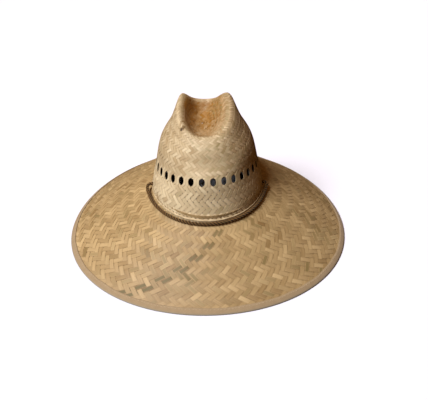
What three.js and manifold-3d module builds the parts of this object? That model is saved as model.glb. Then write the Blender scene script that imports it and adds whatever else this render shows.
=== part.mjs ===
// Fisherman straw hat: a wide brimmed hat of plaited palm straw with a pinched crown, a ring of
// air vents, a taped rim and a brown cord that runs round the crown and on under the chin.
// Millimetres, +Z up. The hat stands on its rim at z = 0 and its front looks along -Y.
import * as THREE from 'three';
import * as BufferGeometryUtils from 'three/addons/utils/BufferGeometryUtils.js';
import Module from 'manifold-3d';

const wasm = await Module();
wasm.setup();

// Driving dimensions
const STRAW = 1.6; // thickness of the plaited straw
const GAP = 0.35; // air left between pieces that are sewn together
const FOOT_HEIGHT = 77.5; // the crown's lower edge above the table
const RIM_HEIGHT = 1.7; // middle of the brim's outer edge above the table
const RIM_HALF_WIDTH = 212.6;
const RIM_HALF_LENGTH = 210.8;
const RIM_EGG = 0.017; // the rim is fuller at its front corners than at its back corners
const BRIM_DROOP = 0.2; // share of the brim's drop that comes as a curve, steeper to the rim
const COLLAR_HEIGHT = 11; // the brim's inner edge stands up this far inside the crown
const SLOPE_SHARES = [0.03, 0.25, 0.5, 0.75, 1]; // places on the brim's slope where it is meshed
// The bend from collar to brim: how far its two skins drop below the foot and are drawn outwards
const BEND = { outerDrop: 0.55, outerRound: 0.3, innerDrop: 2.4, innerRound: 0.6 };
const TAPE = 0.8; // thickness of the rim's binding tape
const TAPE_WIDTH = 8;
// The tape's folded edge: slack beyond the rim, the flat at its tip, where its two sides start,
// and the height below which it is pressed on to the table
const FOLD = { slack: 0.3, flat: 1.4, underside: 0.4, topside: 0.6, pressed: 0.6 };
const VENTS = 32;
const VENT_LEVEL = 2.05; // place of the vents between the rings of the crown table
const VENT_WIDTH = 8;
const VENT_HEIGHT = 16;
const VENT_TURN = 0.8; // degrees that the row of vents is turned from the middle of the front
const VENT_CURVE_STEPS = 4; // facets of a quarter of a vent's oval
const GIRTH_SAMPLES = 2880; // samples with which the crown's girth is measured
const CORD = 5.5; // diameter of the cord
const CORD_SIDES = 8;
const CROWN_CORD_STEPS = 64;
const CHIN_CORD_STEPS = 52;
const CORD_HOLE = 8;
const HOLE_SIDES = 12;
const HOLE_PEG = 24; // length of the peg that makes a cord hole
const HOLE_PLACE = { x: 82, y: -10, z: 84.5 };
const AROUND = 56; // facets round the hat
const DEGREE = Math.PI / 180;

// The crown is a stack of rings. Each ring has its half width, its reach to the front and the
// back of its middle, and its height above the foot at the side, the front and the back. The
// ridge rises by horn at two points behind the middle. A square of 2 is an ellipse, more is
// boxier, and taper widens the ring to the back. The dent lies a little aside of the middle one
// way and the foot the other way, and the row of vents has a tilt: its right side is higher.
const RING_COLUMNS = [
  'half', 'front', 'back', 'middle', 'side', 'fore', 'aft', 'horn', 'square', 'taper', 'aside', 'tilt',
];
const CROWN_TABLE = {
  foot: [84.9, 103, 107, 0, 0, 0, 0, 0, 2, 0, 1.4, 0],
  low: [82.2, 96, 101.5, 0, 19.5, 22, 21, 0, 2.05, 0, 1.4, 0],
  vents: [76.9, 89.7, 94, 0, 43.6, 59.2, 53, 0, 1.85, 0, 0.8, 1.6],
  upper: [69.2, 76, 84, 0, 78, 79, 80, 0, 2.1, 0, 1, 0],
  shoulder: [54.7, 66, 73, 0, 102, 98.5, 100, 2, 2.2, 0.04, 1, 0],
  ridge: [40.4, 53, 57, 0, 121, 110.5, 114.6, 12.8, 3, 0.17, 0, 0],
  brow: [28.8, 44.5, 50, 1, 119.3, 108.8, 113, 10.9, 2.8, 0.15, -2.5, 0],
  wall: [17.6, 30, 38, 4, 107.5, 101.5, 101.5, 3, 2.3, 0.08, -5.5, 0],
  floor: [9, 14, 16, 12, 100, 98, 98, 0, 2, 0, -5, 0],
  centre: [0, 0, 0, 14, 98, 98, 98, 0, 2, 0, -5, 0],
};
const CROWN_RINGS = Object.values(CROWN_TABLE).map((row) => (
  Object.fromEntries(RING_COLUMNS.map((column, i) => [column, row[i]]))
));
const HORN_ANGLE = 46; // degrees behind the sides
const HORN_SPREAD = 26;
const CENTRE_LEVEL = CROWN_RINGS.length - 1;
// Levels at which the crown's two skins are meshed, closer together over the ridge
const CROWN_LEVELS = [0, 0.4, 1, 1.6, 2.3, 3, 3.5, 4, 4.4, 4.75, 5, 5.3, 5.65, 6, 6.5, 7, 7.5, 8, 8.5];

// The front stretch of the cord: in through the hole at one temple, round the front of the crown
// on the brim, and in through the hole at the other temple.
const CROWN_CORD_ROUTE = [
  [-78.6, -10, 84.5], [-82.5, -10, 84.5], [-86.5, -10.4, 84.2], [-89.8, -13, 82.8], [-89.9, -19.5, 80],
  [-87.3, -29, 78.4], [-82.4, -44, 78], [-74.7, -60, 78.1], [-64.7, -74.5, 78.2], [-52.8, -86.6, 78.3],
  [-36.5, -97.6, 78.5], [-18.6, -104.4, 78.6], [0, -106.7, 78.6], [19.9, -104.3, 78.5], [37.7, -97.3, 78.5],
  [53.8, -86.1, 78.5], [67.4, -71.1, 78.5], [78.2, -53.1, 78.5], [84.6, -36.2, 78.5], [88.4, -23.5, 78.7],
  [90.3, -17, 80.3], [90.9, -12.4, 82.6], [88.6, -10.2, 84.2], [84.5, -10, 84.5], [78.6, -10, 84.5],
];
// The stretch under the chin: down inside the crown at one temple, once round on the table
// behind the head opening in an easy bow, and up at the other temple.
const CHIN_CORD_ROUTE = [
  [-78.1, -10, 84.5], [-76.6, -10, 84.5], [-72.8, -10, 83.7], [-69.2, -10, 81.3], [-66.8, -10, 77.7],
  [-66, -10, 73.5], [-66, -10, 52], [-66, -10, 32], [-66, -10, 16.5], [-66.2, -8, 9.4], [-66.6, -3, 4.7],
  [-67.3, 5, 3.1], [-69, 24, 3], [-71, 54, 3], [-70, 86, 3], [-61, 119, 3], [-43, 146, 3], [-17, 161, 3],
  [12, 163, 3], [40, 150, 3], [60, 124, 3], [70.5, 91, 3], [72.5, 56, 3], [70.2, 25, 3], [67.7, 5, 3.1],
  [66.8, -3, 4.7], [66.3, -8, 9.4], [66, -10, 16.5], [66, -10, 32], [66, -10, 52], [66, -10, 73.5],
  [66.8, -10, 77.7], [69.2, -10, 81.3], [72.8, -10, 83.7], [76.6, -10, 84.5], [78.1, -10, 84.5],
];

// Signed power, which turns a circle's sine and cosine into those of a boxier ring
function softPower(value, power) {
  return Math.sign(value) * Math.abs(value) ** power;
}

// A point of one ring of the crown table at an angle round the hat (0 is +X, 90 degrees is back)
function ringPoint(ring, angle) {
  const cosine = Math.cos(angle);
  const sine = Math.sin(angle);
  const reach = sine < 0 ? ring.front : ring.back;
  const reachAside = ring.half * (1 + ring.taper * sine);
  const x = ring.aside + reachAside * softPower(cosine, 2 / ring.square);
  const y = ring.middle + reach * softPower(sine, 2 / ring.square);
  const lengthwise = sine < 0 ? ring.fore : ring.aft;
  const degreesBehind = Math.atan2(sine, Math.abs(cosine)) / DEGREE;
  const rise = ring.horn * Math.exp(-(((degreesBehind - HORN_ANGLE) / HORN_SPREAD) ** 2));
  const level = ring.side + (lengthwise - ring.side) * sine * sine + ring.tilt * cosine;
  return new THREE.Vector3(x, y, FOOT_HEIGHT + level + rise);
}

// A smooth curve through the four neighbouring rings gives the crown's outer skin at any level
function crownPoint(angle, level) {
  const row = Math.min(Math.floor(level), CENTRE_LEVEL - 1);
  const share = level - row;
  const here = ringPoint(CROWN_RINGS[row], angle);
  const next = ringPoint(CROWN_RINGS[row + 1], angle);
  const after = ringPoint(CROWN_RINGS[Math.min(row + 2, CENTRE_LEVEL)], angle);
  const mirrored = here.clone().multiplyScalar(2).sub(next);
  const before = row > 0 ? ringPoint(CROWN_RINGS[row - 1], angle) : mirrored;
  const blend = (a, b, c, d) => {
    const linear = c - a;
    const square = 2 * a - 5 * b + 4 * c - d;
    const cube = 3 * b - a - 3 * c + d;
    return b + 0.5 * share * (linear + share * (square + share * cube));
  };
  return new THREE.Vector3(
    blend(before.x, here.x, next.x, after.x),
    blend(before.y, here.y, next.y, after.y),
    blend(before.z, here.z, next.z, after.z),
  );
}

// The outward direction of the crown's skin
function crownNormal(angle, level) {
  const step = 0.01;
  const lower = Math.max(level - step, 0);
  const upper = Math.min(level + step, CENTRE_LEVEL - step);
  const round = crownPoint(angle + step, level).sub(crownPoint(angle - step, level));
  const up = crownPoint(angle, upper).sub(crownPoint(angle, lower));
  return round.cross(up).normalize();
}

// A closed body from one section for each facet round the hat. A section is a closed list of
// points, and points of all sections that fall together, as at the crown's centre, are merged.
function sweepRound(sectionAt) {
  const sections = [];
  for (let i = 0; i < AROUND; i += 1) {
    sections.push(sectionAt((i * 2 * Math.PI) / AROUND));
  }
  const count = sections[0].length;
  const positions = sections.flat().flatMap((point) => point.toArray());
  const corner = (i, j) => (i % AROUND) * count + (j % count);
  const faces = [];
  for (let i = 0; i < AROUND; i += 1) {
    for (let j = 0; j < count; j += 1) {
      faces.push([corner(i, j), corner(i + 1, j), corner(i + 1, j + 1)]);
      faces.push([corner(i, j), corner(i + 1, j + 1), corner(i, j + 1)]);
    }
  }
  const soup = new THREE.BufferGeometry();
  soup.setAttribute('position', new THREE.Float32BufferAttribute(positions, 3));
  soup.setIndex(faces.flat());
  return withoutSlivers(BufferGeometryUtils.mergeVertices(soup));
}

// Drops the triangles that merging has left without an area
function withoutSlivers(geometry) {
  const index = geometry.index.array;
  const kept = [];
  for (let i = 0; i < index.length; i += 3) {
    const [a, b, c] = [index[i], index[i + 1], index[i + 2]];
    if (a !== b && b !== c && c !== a) {
      kept.push(a, b, c);
    }
  }
  geometry.setIndex(kept);
  return geometry;
}

function toSolid(geometry) {
  const bare = geometry.clone();
  bare.deleteAttribute('normal');
  bare.deleteAttribute('uv');
  const merged = BufferGeometryUtils.mergeVertices(bare);
  return new wasm.Manifold(new wasm.Mesh({
    numProp: 3,
    vertProperties: new Float32Array(merged.attributes.position.array),
    triVerts: new Uint32Array(merged.index.array),
  }));
}

function toGeometry(solid) {
  const mesh = solid.getMesh();
  const geometry = new THREE.BufferGeometry();
  geometry.setAttribute('position', new THREE.Float32BufferAttribute(mesh.vertProperties, 3));
  geometry.setIndex([...mesh.triVerts]);
  geometry.computeVertexNormals();
  return geometry;
}

function subtractAll(geometry, cutters) {
  const cut = cutters.reduce((solid, cutter) => solid.subtract(toSolid(cutter)), toSolid(geometry));
  return toGeometry(cut);
}

// The crown's section runs up the outer skin to the centre of the dent and back down inside
function crownSection(angle) {
  const outer = CROWN_LEVELS.map((level) => crownPoint(angle, level));
  const inner = CROWN_LEVELS.map((level, row) => (
    outer[row].clone().addScaledVector(crownNormal(angle, level), -STRAW)
  ));
  inner[0].z = FOOT_HEIGHT;
  const top = crownPoint(0, CENTRE_LEVEL);
  const under = top.clone().setZ(top.z - STRAW);
  return [...outer, top, under, ...inner.reverse()];
}

// Angles that share the crown's girth at the vents into equal steps
function ventAngles() {
  const start = (VENT_TURN - 90) * DEGREE;
  const reached = [0];
  let last = crownPoint(start, VENT_LEVEL);
  for (let i = 1; i <= GIRTH_SAMPLES; i += 1) {
    const point = crownPoint(start + (i * 2 * Math.PI) / GIRTH_SAMPLES, VENT_LEVEL);
    reached.push(reached[i - 1] + point.distanceTo(last));
    last = point;
  }
  const angles = [];
  for (let vent = 0; vent < VENTS; vent += 1) {
    const place = ((vent + 0.5) * reached[GIRTH_SAMPLES]) / VENTS;
    const sample = reached.findIndex((length) => length >= place);
    angles.push(start + (sample * 2 * Math.PI) / GIRTH_SAMPLES);
  }
  return angles;
}

// An oval peg through the crown's wall, square to it
function ventCutter(angle) {
  const oval = new THREE.Shape();
  oval.absellipse(0, 0, VENT_WIDTH / 2, VENT_HEIGHT / 2, 0, 2 * Math.PI);
  const depth = 8 * STRAW;
  const shape = { depth, bevelEnabled: false, curveSegments: VENT_CURVE_STEPS };
  const peg = new THREE.ExtrudeGeometry(oval, shape);
  peg.translate(0, 0, -depth / 2);
  const outward = crownNormal(angle, VENT_LEVEL);
  const across = new THREE.Vector3(-outward.y, outward.x, 0).normalize();
  const upward = outward.clone().cross(across);
  const place = crownPoint(angle, VENT_LEVEL);
  peg.applyMatrix4(new THREE.Matrix4().makeBasis(across, upward, outward).setPosition(place));
  return peg;
}

// The pegs that make the cord's holes at the temples, through crown and collar
function holeCutters() {
  return [-1, 1].map((side) => {
    const peg = new THREE.CylinderGeometry(CORD_HOLE / 2, CORD_HOLE / 2, HOLE_PEG, HOLE_SIDES);
    return peg.rotateZ(Math.PI / 2).translate(side * HOLE_PLACE.x, HOLE_PLACE.y, HOLE_PLACE.z);
  });
}

function rimPoint(angle) {
  const egg = 1 - RIM_EGG * Math.sin(3 * angle);
  const x = RIM_HALF_WIDTH * egg * Math.cos(angle);
  const y = RIM_HALF_LENGTH * (egg * Math.sin(angle) - RIM_EGG);
  return new THREE.Vector3(x, y, RIM_HEIGHT);
}

// The middle of the brim's straw, from the crown's foot (share 0) to the rim (share 1)
function brimPoint(angle, share) {
  const start = ringPoint(CROWN_RINGS[0], angle);
  start.z -= STRAW;
  const end = rimPoint(angle);
  const point = start.clone().lerp(end, share);
  const fall = (1 - BRIM_DROOP) * share + BRIM_DROOP * share * share;
  point.z = start.z + (end.z - start.z) * fall;
  return point;
}

function brimNormal(angle, share) {
  const step = 0.01;
  const out = brimPoint(angle, share + step).sub(brimPoint(angle, share - step));
  const round = brimPoint(angle + step, share).sub(brimPoint(angle - step, share));
  return out.cross(round).normalize();
}

// The brim's section: a collar inside the crown, a bend under its foot and the long slope
function brimSection(angle) {
  const inward = crownNormal(angle, 0).setZ(0).normalize().negate();
  const slope = SLOPE_SHARES.map((share) => brimPoint(angle, share));
  const normals = SLOPE_SHARES.map((share) => brimNormal(angle, share));
  const collarAt = (height, depth) => {
    const level = Math.max(height, 0) / CROWN_RINGS[1].side;
    const point = crownPoint(angle, level).addScaledVector(inward, depth);
    point.z = FOOT_HEIGHT + height;
    return point;
  };
  const face = STRAW + GAP;
  const back = face + STRAW;
  const upper = slope.map((point, i) => point.clone().addScaledVector(normals[i], STRAW / 2));
  const lower = slope.map((point, i) => point.clone().addScaledVector(normals[i], -STRAW / 2));
  const front = [
    collarAt(COLLAR_HEIGHT, face),
    collarAt(0, face),
    collarAt(-BEND.outerDrop, face - BEND.outerRound),
  ];
  const rear = [
    collarAt(-BEND.innerDrop, back - BEND.innerRound),
    collarAt(0, back),
    collarAt(COLLAR_HEIGHT, back),
  ];
  return [...front, ...upper, ...lower.reverse(), ...rear].reverse();
}

// The tape is folded over the rim in a U and pressed flat where the hat stands on it. Each point
// of its section has its distance outwards from the rim, its height over the straw's middle, and
// whether it stands on the table where the rim is lowest.
function bindingSection(angle) {
  const edge = brimPoint(angle, 1);
  const normal = brimNormal(angle, 1);
  const out = edge.clone().sub(brimPoint(angle, 0.98)).normalize();
  const inside = STRAW / 2 + GAP;
  const outside = inside + TAPE;
  const fold = GAP + TAPE + FOLD.slack;
  const section = [
    [GAP, inside, false],
    [GAP, -inside, false],
    [-TAPE_WIDTH, -inside, false],
    [-TAPE_WIDTH, -outside, false],
    [FOLD.underside, -outside, true],
    [fold, -FOLD.flat / 2, true],
    [fold, FOLD.flat / 2, false],
    [FOLD.topside, outside, false],
    [-TAPE_WIDTH, outside, false],
    [-TAPE_WIDTH, inside, false],
  ];
  return section.map(([along, across, stands]) => {
    const point = edge.clone().addScaledVector(out, along).addScaledVector(normal, across);
    return stands && point.z < FOLD.pressed ? point.setZ(0) : point;
  });
}

// A round tube along a route of points
function cordGeometry(route, steps) {
  const points = route.map((point) => new THREE.Vector3(...point));
  const extrudePath = new THREE.CatmullRomCurve3(points, false, 'centripetal');
  const corners = [];
  for (let i = 0; i < CORD_SIDES; i += 1) {
    const angle = (i * 2 * Math.PI) / CORD_SIDES;
    corners.push(new THREE.Vector2(Math.cos(angle) * CORD / 2, Math.sin(angle) * CORD / 2));
  }
  const section = new THREE.Shape(corners);
  return new THREE.ExtrudeGeometry(section, { steps, extrudePath, bevelEnabled: false });
}

const MATERIALS = {
  crown_straw: new THREE.MeshStandardMaterial({ color: '#d8c39c', roughness: 0.62, metalness: 0 }),
  brim_straw: new THREE.MeshStandardMaterial({ color: '#c6a674', roughness: 0.66, metalness: 0 }),
  rim_tape: new THREE.MeshStandardMaterial({ color: '#b4936c', roughness: 0.85, metalness: 0 }),
  brown_cord: new THREE.MeshStandardMaterial({ color: '#5c4024', roughness: 0.9, metalness: 0 }),
};

const hat = new THREE.Group();

function addPiece(name, geometry, material) {
  const piece = new THREE.Mesh(geometry, MATERIALS[material]);
  piece.name = name;
  hat.add(piece);
}

const cordHoles = holeCutters();
const vents = ventAngles().map(ventCutter);
addPiece('crown', subtractAll(sweepRound(crownSection), [...vents, ...cordHoles]), 'crown_straw');
addPiece('brim', subtractAll(sweepRound(brimSection), cordHoles), 'brim_straw');
addPiece('rim_binding', sweepRound(bindingSection), 'rim_tape');
addPiece('crown_cord', cordGeometry(CROWN_CORD_ROUTE, CROWN_CORD_STEPS), 'brown_cord');
addPiece('chin_cord', cordGeometry(CHIN_CORD_ROUTE, CHIN_CORD_STEPS), 'brown_cord');

export default hat;
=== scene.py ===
# %% [markdown]
# # A fisherman's straw hat
# The hat is plaited from flat strips of palm leaf that run slantwise, one family leaning left and
# one leaning right. A ring of air vents is left open in the crown, a tape is sewn round the rim
# and a brown twisted cord runs round the crown, in through a hole at each temple and on under the
# chin. A picture of a weave on a smooth shell would look painted when the light comes from the
# side, so here every strip is a thin solid of its own that dips over and under the others.
# The solids of the CAD model come first: they say where everything is.

import bpy
import numpy as np
from mathutils import Matrix


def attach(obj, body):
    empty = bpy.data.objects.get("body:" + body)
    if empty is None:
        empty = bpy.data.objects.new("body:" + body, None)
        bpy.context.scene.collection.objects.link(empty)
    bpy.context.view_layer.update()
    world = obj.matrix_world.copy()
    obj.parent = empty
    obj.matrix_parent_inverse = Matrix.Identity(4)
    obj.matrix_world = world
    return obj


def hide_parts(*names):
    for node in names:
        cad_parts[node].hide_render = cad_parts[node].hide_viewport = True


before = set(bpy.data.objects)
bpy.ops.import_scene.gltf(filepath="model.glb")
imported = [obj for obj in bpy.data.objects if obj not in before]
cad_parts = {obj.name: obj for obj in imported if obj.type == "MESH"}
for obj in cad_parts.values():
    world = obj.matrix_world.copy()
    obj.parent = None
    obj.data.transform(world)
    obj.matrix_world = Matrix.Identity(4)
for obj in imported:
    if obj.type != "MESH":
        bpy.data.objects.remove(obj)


def add_object(name, data):
    """Puts a mesh, camera or lamp into the scene, at the origin."""
    made = bpy.data.objects.new(name, data)
    bpy.context.scene.collection.objects.link(made)
    return made


def turn_to(thing, across, up, back, place=(0, 0, 0)):
    """Places a camera or lamp: the columns of its matrix are its right, its up, its back and its
    place."""
    matrix = np.eye(4)
    matrix[:3] = np.stack([across, up, back, place], axis=1)
    thing.matrix_world = Matrix(matrix.tolist())


MM = 0.001  # lengths below are in millimetres, and Blender wants metres
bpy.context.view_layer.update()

# %% [markdown]
# ## Camera
# The photograph looks down on the front of the hat. Its angle was found by laying the outlines of
# the rim and the crown over the model: 35.5 degrees above the horizon, from 1.2 m away, with the
# picture turned by about one degree. A camera object looks along its own -Z with +Y up in the
# picture, so its matrix is written down from those three directions.

# %% The camera
IMAGE_WIDTH = 428  # pixels, of a picture 428 wide and 400 high
FOCAL_PIXELS = 766
SENSOR_WIDTH = 36.0
ELEVATION = np.radians(35.5)
ROLL = np.radians(0.96)
DISTANCE = 1200
AIM = np.array([10.6, 0.0, 44.5])

level_right = np.array([1.0, 0.0, 0.0])
level_up = np.array([0.0, np.sin(ELEVATION), np.cos(ELEVATION)])
look = np.array([0.0, np.cos(ELEVATION), -np.sin(ELEVATION)])
picture_right = np.cos(ROLL) * level_right - np.sin(ROLL) * level_up
picture_up = np.sin(ROLL) * level_right + np.cos(ROLL) * level_up

camera_data = bpy.data.cameras.new("camera")
camera_data.sensor_width = SENSOR_WIDTH
camera_data.lens = SENSOR_WIDTH * FOCAL_PIXELS / IMAGE_WIDTH
camera = add_object("camera", camera_data)
turn_to(camera, picture_right, picture_up, -look, (AIM - DISTANCE * look) * MM)
bpy.context.scene.camera = camera
print("lens in millimetres:", round(camera_data.lens, 2))

# %% [markdown]
# ## Helpers
# All shapes are numpy arrays of points. One function joins rings of points by quads, and one puts
# points and faces into a mesh object and hangs it on the hat's only body. One turns a colour as a
# screen shows it into the linear values that Blender calculates with. One adds a node to a
# material, and a few more use it for the steps that come back in every finish: a sum, a blend of
# two colours, a ramp and bumps.


# %% Helpers for meshes, colours and nodes
def unit(vectors):
    """Vectors of length one: each vector over its own length."""
    return vectors / np.linalg.norm(vectors, axis=-1, keepdims=True)


def travelled_along(points):
    """Running length of each line of points: 0 and then the sums of the steps."""
    step = np.linalg.norm(np.diff(points, axis=-2), axis=-1)
    return np.concatenate([np.zeros_like(step[..., :1]), np.cumsum(step, axis=-1)], axis=-1)


def linear(hex_colour):
    """sRGB hex to linear: c / 12.92 for dark channels, ((c + 0.055) / 1.055) ** 2.4 for the rest."""
    channels = np.array([int(hex_colour[i:i + 2], 16) for i in (1, 3, 5)]) / 255
    bright = ((channels + 0.055) / 1.055) ** 2.4
    return (*np.where(channels < 0.04045, channels / 12.92, bright).tolist(), 1.0)


def put_in(tree, node, inputs):
    """Maps an input's name or number to a value that it takes or to a socket that is linked."""
    for name, value in dict(inputs).items():
        if isinstance(value, bpy.types.NodeSocket):
            tree.links.new(value, node.inputs[name])
        else:
            node.inputs[name].default_value = value


def add_node(tree, kind, inputs=(), **settings):
    """Adds a node with its settings and its inputs, as in put_in."""
    made = tree.nodes.new("ShaderNode" + kind)
    for name, value in settings.items():
        setattr(made, name, value)
    put_in(tree, made, inputs)
    return made


def calculate(tree, operation, *values, **settings):
    """The result of one sum on numbers or sockets."""
    return add_node(tree, "Math", dict(enumerate(values)), operation=operation, **settings).outputs[0]


MIX_LOW, MIX_HIGH, MIX_RESULT = 6, 7, 2  # the colour sockets of a Mix node


def blend(tree, share, low, high):
    """Low where the share is 0 and high where it is 1; each is a hex colour or a socket."""
    low, high = (linear(colour) if isinstance(colour, str) else colour for colour in (low, high))
    made = add_node(tree, "Mix", {0: share, MIX_LOW: low, MIX_HIGH: high}, data_type="RGBA")
    return made.outputs[MIX_RESULT]


def ramp(tree, value, start, end, bottom=0.0, top=1.0, kind="LINEAR"):
    """Bottom up to the start and top from the end, with a straight or smooth way between."""
    return add_node(tree, "MapRange", {
        "Value": value, "From Min": start, "From Max": end, "To Min": bottom, "To Max": top,
    }, interpolation_type=kind).outputs["Result"]


def new_material(name):
    """A material with its node tree and its surface shader."""
    material = bpy.data.materials.new(name)
    material.use_nodes = True
    return material, material.node_tree, material.node_tree.nodes["Principled BSDF"]


def emboss(tree, surface, height, strength, depth):
    """Bumps on the surface, with their depth in millimetres."""
    bump = add_node(tree, "Bump", {"Height": height, "Strength": strength, "Distance": depth * MM})
    put_in(tree, surface, {"Normal": bump.outputs["Normal"]})


def quads_between(rings, sides, blocks=1, closed=False, turned=False):
    """Quads between neighbouring closed rings of points, in one or more blocks of as many rings.
    Closed joins a block's last ring to its first; turned faces the quads the other way."""
    ring = np.arange(rings if closed else rings - 1)[None, :, None]
    block = np.arange(blocks)[:, None, None] * rings * sides
    here, there = block + ring * sides, block + (ring + 1) % rings * sides
    side = np.arange(sides)
    after = (side + 1) % sides
    corners = [here + side, here + after, there + after, there + side]
    if turned:
        corners = [corners[0], *corners[:0:-1]]
    return np.stack(corners, axis=-1).reshape(-1, 4)


def make_piece(name, points, faces, material, replaced, smooth=True):
    """An object at the origin from points in millimetres and quads, riding on the hat."""
    mesh = bpy.data.meshes.new(name)
    mesh.from_pydata((points.reshape(-1, 3) * MM).tolist(), [], faces.tolist())
    mesh.update()
    mesh.polygons.foreach_set("use_smooth", np.full(len(mesh.polygons), smooth))
    mesh.materials.append(material)
    piece = add_object(name, mesh)
    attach(piece, "root")
    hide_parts(replaced)
    print(name, "has", len(mesh.polygons), "faces")
    return piece


def paint(piece, name, colours):
    """Keeps a colour for each vertex, which the materials read by its name."""
    layer = piece.data.color_attributes.new(name, "FLOAT_COLOR", "POINT")
    layer.data.foreach_set("color", colours.astype(np.float32).ravel())


def lay_out(piece, name, corners):
    """Keeps a pair of pattern coordinates for each corner of each face."""
    layer = piece.data.uv_layers.new(name=name)
    layer.data.foreach_set("uv", corners.astype(np.float32).ravel())


# %% [markdown]
# ## The cord
# The cord is three strands twisted round each other, about 5.5 mm thick. Its cross-section is the
# outline of three circles that touch; carried along the cord's route and turned once for each
# 15 mm, it gives the slanting ribs. The front stretch lies on the brim against the crown. The
# stretch that goes under the chin is out of sight in the photograph: here it lies on the table
# inside the hat in an easy bow. The whole loop is about 0.9 m.

# %% Routes of the cord
CORD = 5.5
CORD_LAY = 15
ROUTE_SAMPLES = 4000
CORD_FILL = 0.64  # the grooves between the strands don't go deeper than this share of the radius
LOOP_MIDDLE = np.array([0.0, 60.0, 40.0])  # a point inside the loop, away from the route
CROWN_CORD_ROUTE = np.array([
    [-78.6, -10, 84.5], [-82.5, -10, 84.5], [-86.5, -10.4, 84.2], [-89.8, -13, 82.8],
    [-89.9, -19.5, 80], [-87.3, -29, 78.4], [-82.4, -44, 78], [-74.7, -60, 78.1],
    [-64.7, -74.5, 78.2], [-52.8, -86.6, 78.3], [-36.5, -97.6, 78.5], [-18.6, -104.4, 78.6],
    [0, -106.7, 78.6], [19.9, -104.3, 78.5], [37.7, -97.3, 78.5], [53.8, -86.1, 78.5],
    [67.4, -71.1, 78.5], [78.2, -53.1, 78.5], [84.6, -36.2, 78.5], [88.4, -23.5, 78.7],
    [90.3, -17, 80.3], [90.9, -12.4, 82.6], [88.6, -10.2, 84.2], [84.5, -10, 84.5],
    [78.6, -10, 84.5],
])
CHIN_CORD_ROUTE = np.array([
    [-78.1, -10, 84.5], [-76.6, -10, 84.5], [-72.8, -10, 83.7], [-69.2, -10, 81.3],
    [-66.8, -10, 77.7], [-66, -10, 73.5], [-66, -10, 52], [-66, -10, 32], [-66, -10, 16.5],
    [-66.2, -8, 9.4], [-66.6, -3, 4.7], [-67.3, 5, 3.1], [-69, 24, 3], [-71, 54, 3], [-70, 86, 3],
    [-61, 119, 3], [-43, 146, 3], [-17, 161, 3], [12, 163, 3], [40, 150, 3], [60, 124, 3],
    [70.5, 91, 3], [72.5, 56, 3], [70.2, 25, 3], [67.7, 5, 3.1], [66.8, -3, 4.7], [66.3, -8, 9.4],
    [66, -10, 16.5], [66, -10, 32], [66, -10, 52], [66, -10, 73.5], [66.8, -10, 77.7],
    [69.2, -10, 81.3], [72.8, -10, 83.7], [76.6, -10, 84.5], [78.1, -10, 84.5],
])


def smooth_route(route, step):
    """Evenly spaced points of a centripetal curve: knots grow by the square root of each gap."""
    ends = np.array([2 * route[0] - route[1], 2 * route[-1] - route[-2]])
    points = np.concatenate([ends[:1], route, ends[1:]])
    knots = np.cumsum(np.concatenate([[0], np.linalg.norm(np.diff(points, axis=0), axis=1) ** 0.5]))
    place = np.linspace(knots[1], knots[-2], ROUTE_SAMPLES)
    row = np.clip(np.searchsorted(knots, place, side="right") - 1, 1, len(points) - 3)
    t0, t1, t2, t3 = (knots[row + k][:, None] for k in (-1, 0, 1, 2))
    p0, p1, p2, p3 = (points[row + k] for k in (-1, 0, 1, 2))
    t = place[:, None]
    a1 = ((t1 - t) * p0 + (t - t0) * p1) / (t1 - t0)
    a2 = ((t2 - t) * p1 + (t - t1) * p2) / (t2 - t1)
    a3 = ((t3 - t) * p2 + (t - t2) * p3) / (t3 - t2)
    b1 = ((t2 - t) * a1 + (t - t0) * a2) / (t2 - t0)
    b2 = ((t3 - t) * a2 + (t - t1) * a3) / (t3 - t1)
    curve = ((t2 - t) * b1 + (t - t1) * b2) / (t2 - t1)
    length = travelled_along(curve)
    even = np.linspace(0, length[-1], int(length[-1] / step) + 1)
    return np.stack([np.interp(even, length, curve[:, k]) for k in range(3)], axis=1), even


# %% [markdown]
# A tube is a profile carried along a path. At each point the profile needs two directions square
# to the path. The first is the direction away from a point inside the loop, with its part along
# the path taken off; the second is square to both. That never flips, because the route never
# points straight at the middle.


# %% The twisted cord
def twisted_cord(path, travelled, sides=24):
    """Ring k: path point k plus r(a) (cos(a + turn) across + sin(a + turn) up).

    r(a) is the edge of three touching circles: c cos(b) + sqrt(s^2 - c^2 sin(b)^2), with b the
    angle to the nearest circle's middle, s its radius and c its distance; turn is 2 pi times the
    distance travelled over the lay."""
    ahead = unit(np.gradient(path, axis=0))
    away = path - LOOP_MIDDLE
    across = unit(away - np.sum(away * ahead, axis=1, keepdims=True) * ahead)
    upward = np.cross(ahead, across)
    strand = CORD / 2 / (1 + 2 / np.sqrt(3))
    middle = strand * 2 / np.sqrt(3)
    angle = np.arange(sides) * 2 * np.pi / sides
    near = np.mod(angle + np.pi / 3, 2 * np.pi / 3) - np.pi / 3
    reach = middle * np.cos(near) + np.sqrt(np.maximum(strand**2 - (middle * np.sin(near)) ** 2, 0))
    reach = np.maximum(reach, CORD_FILL * CORD / 2)
    turn = angle[None, :] + (2 * np.pi * travelled / CORD_LAY)[:, None]
    offset = np.cos(turn)[..., None] * across[:, None] + np.sin(turn)[..., None] * upward[:, None]
    return path[:, None] + reach[None, :, None] * offset, reach / (CORD / 2)


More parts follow.
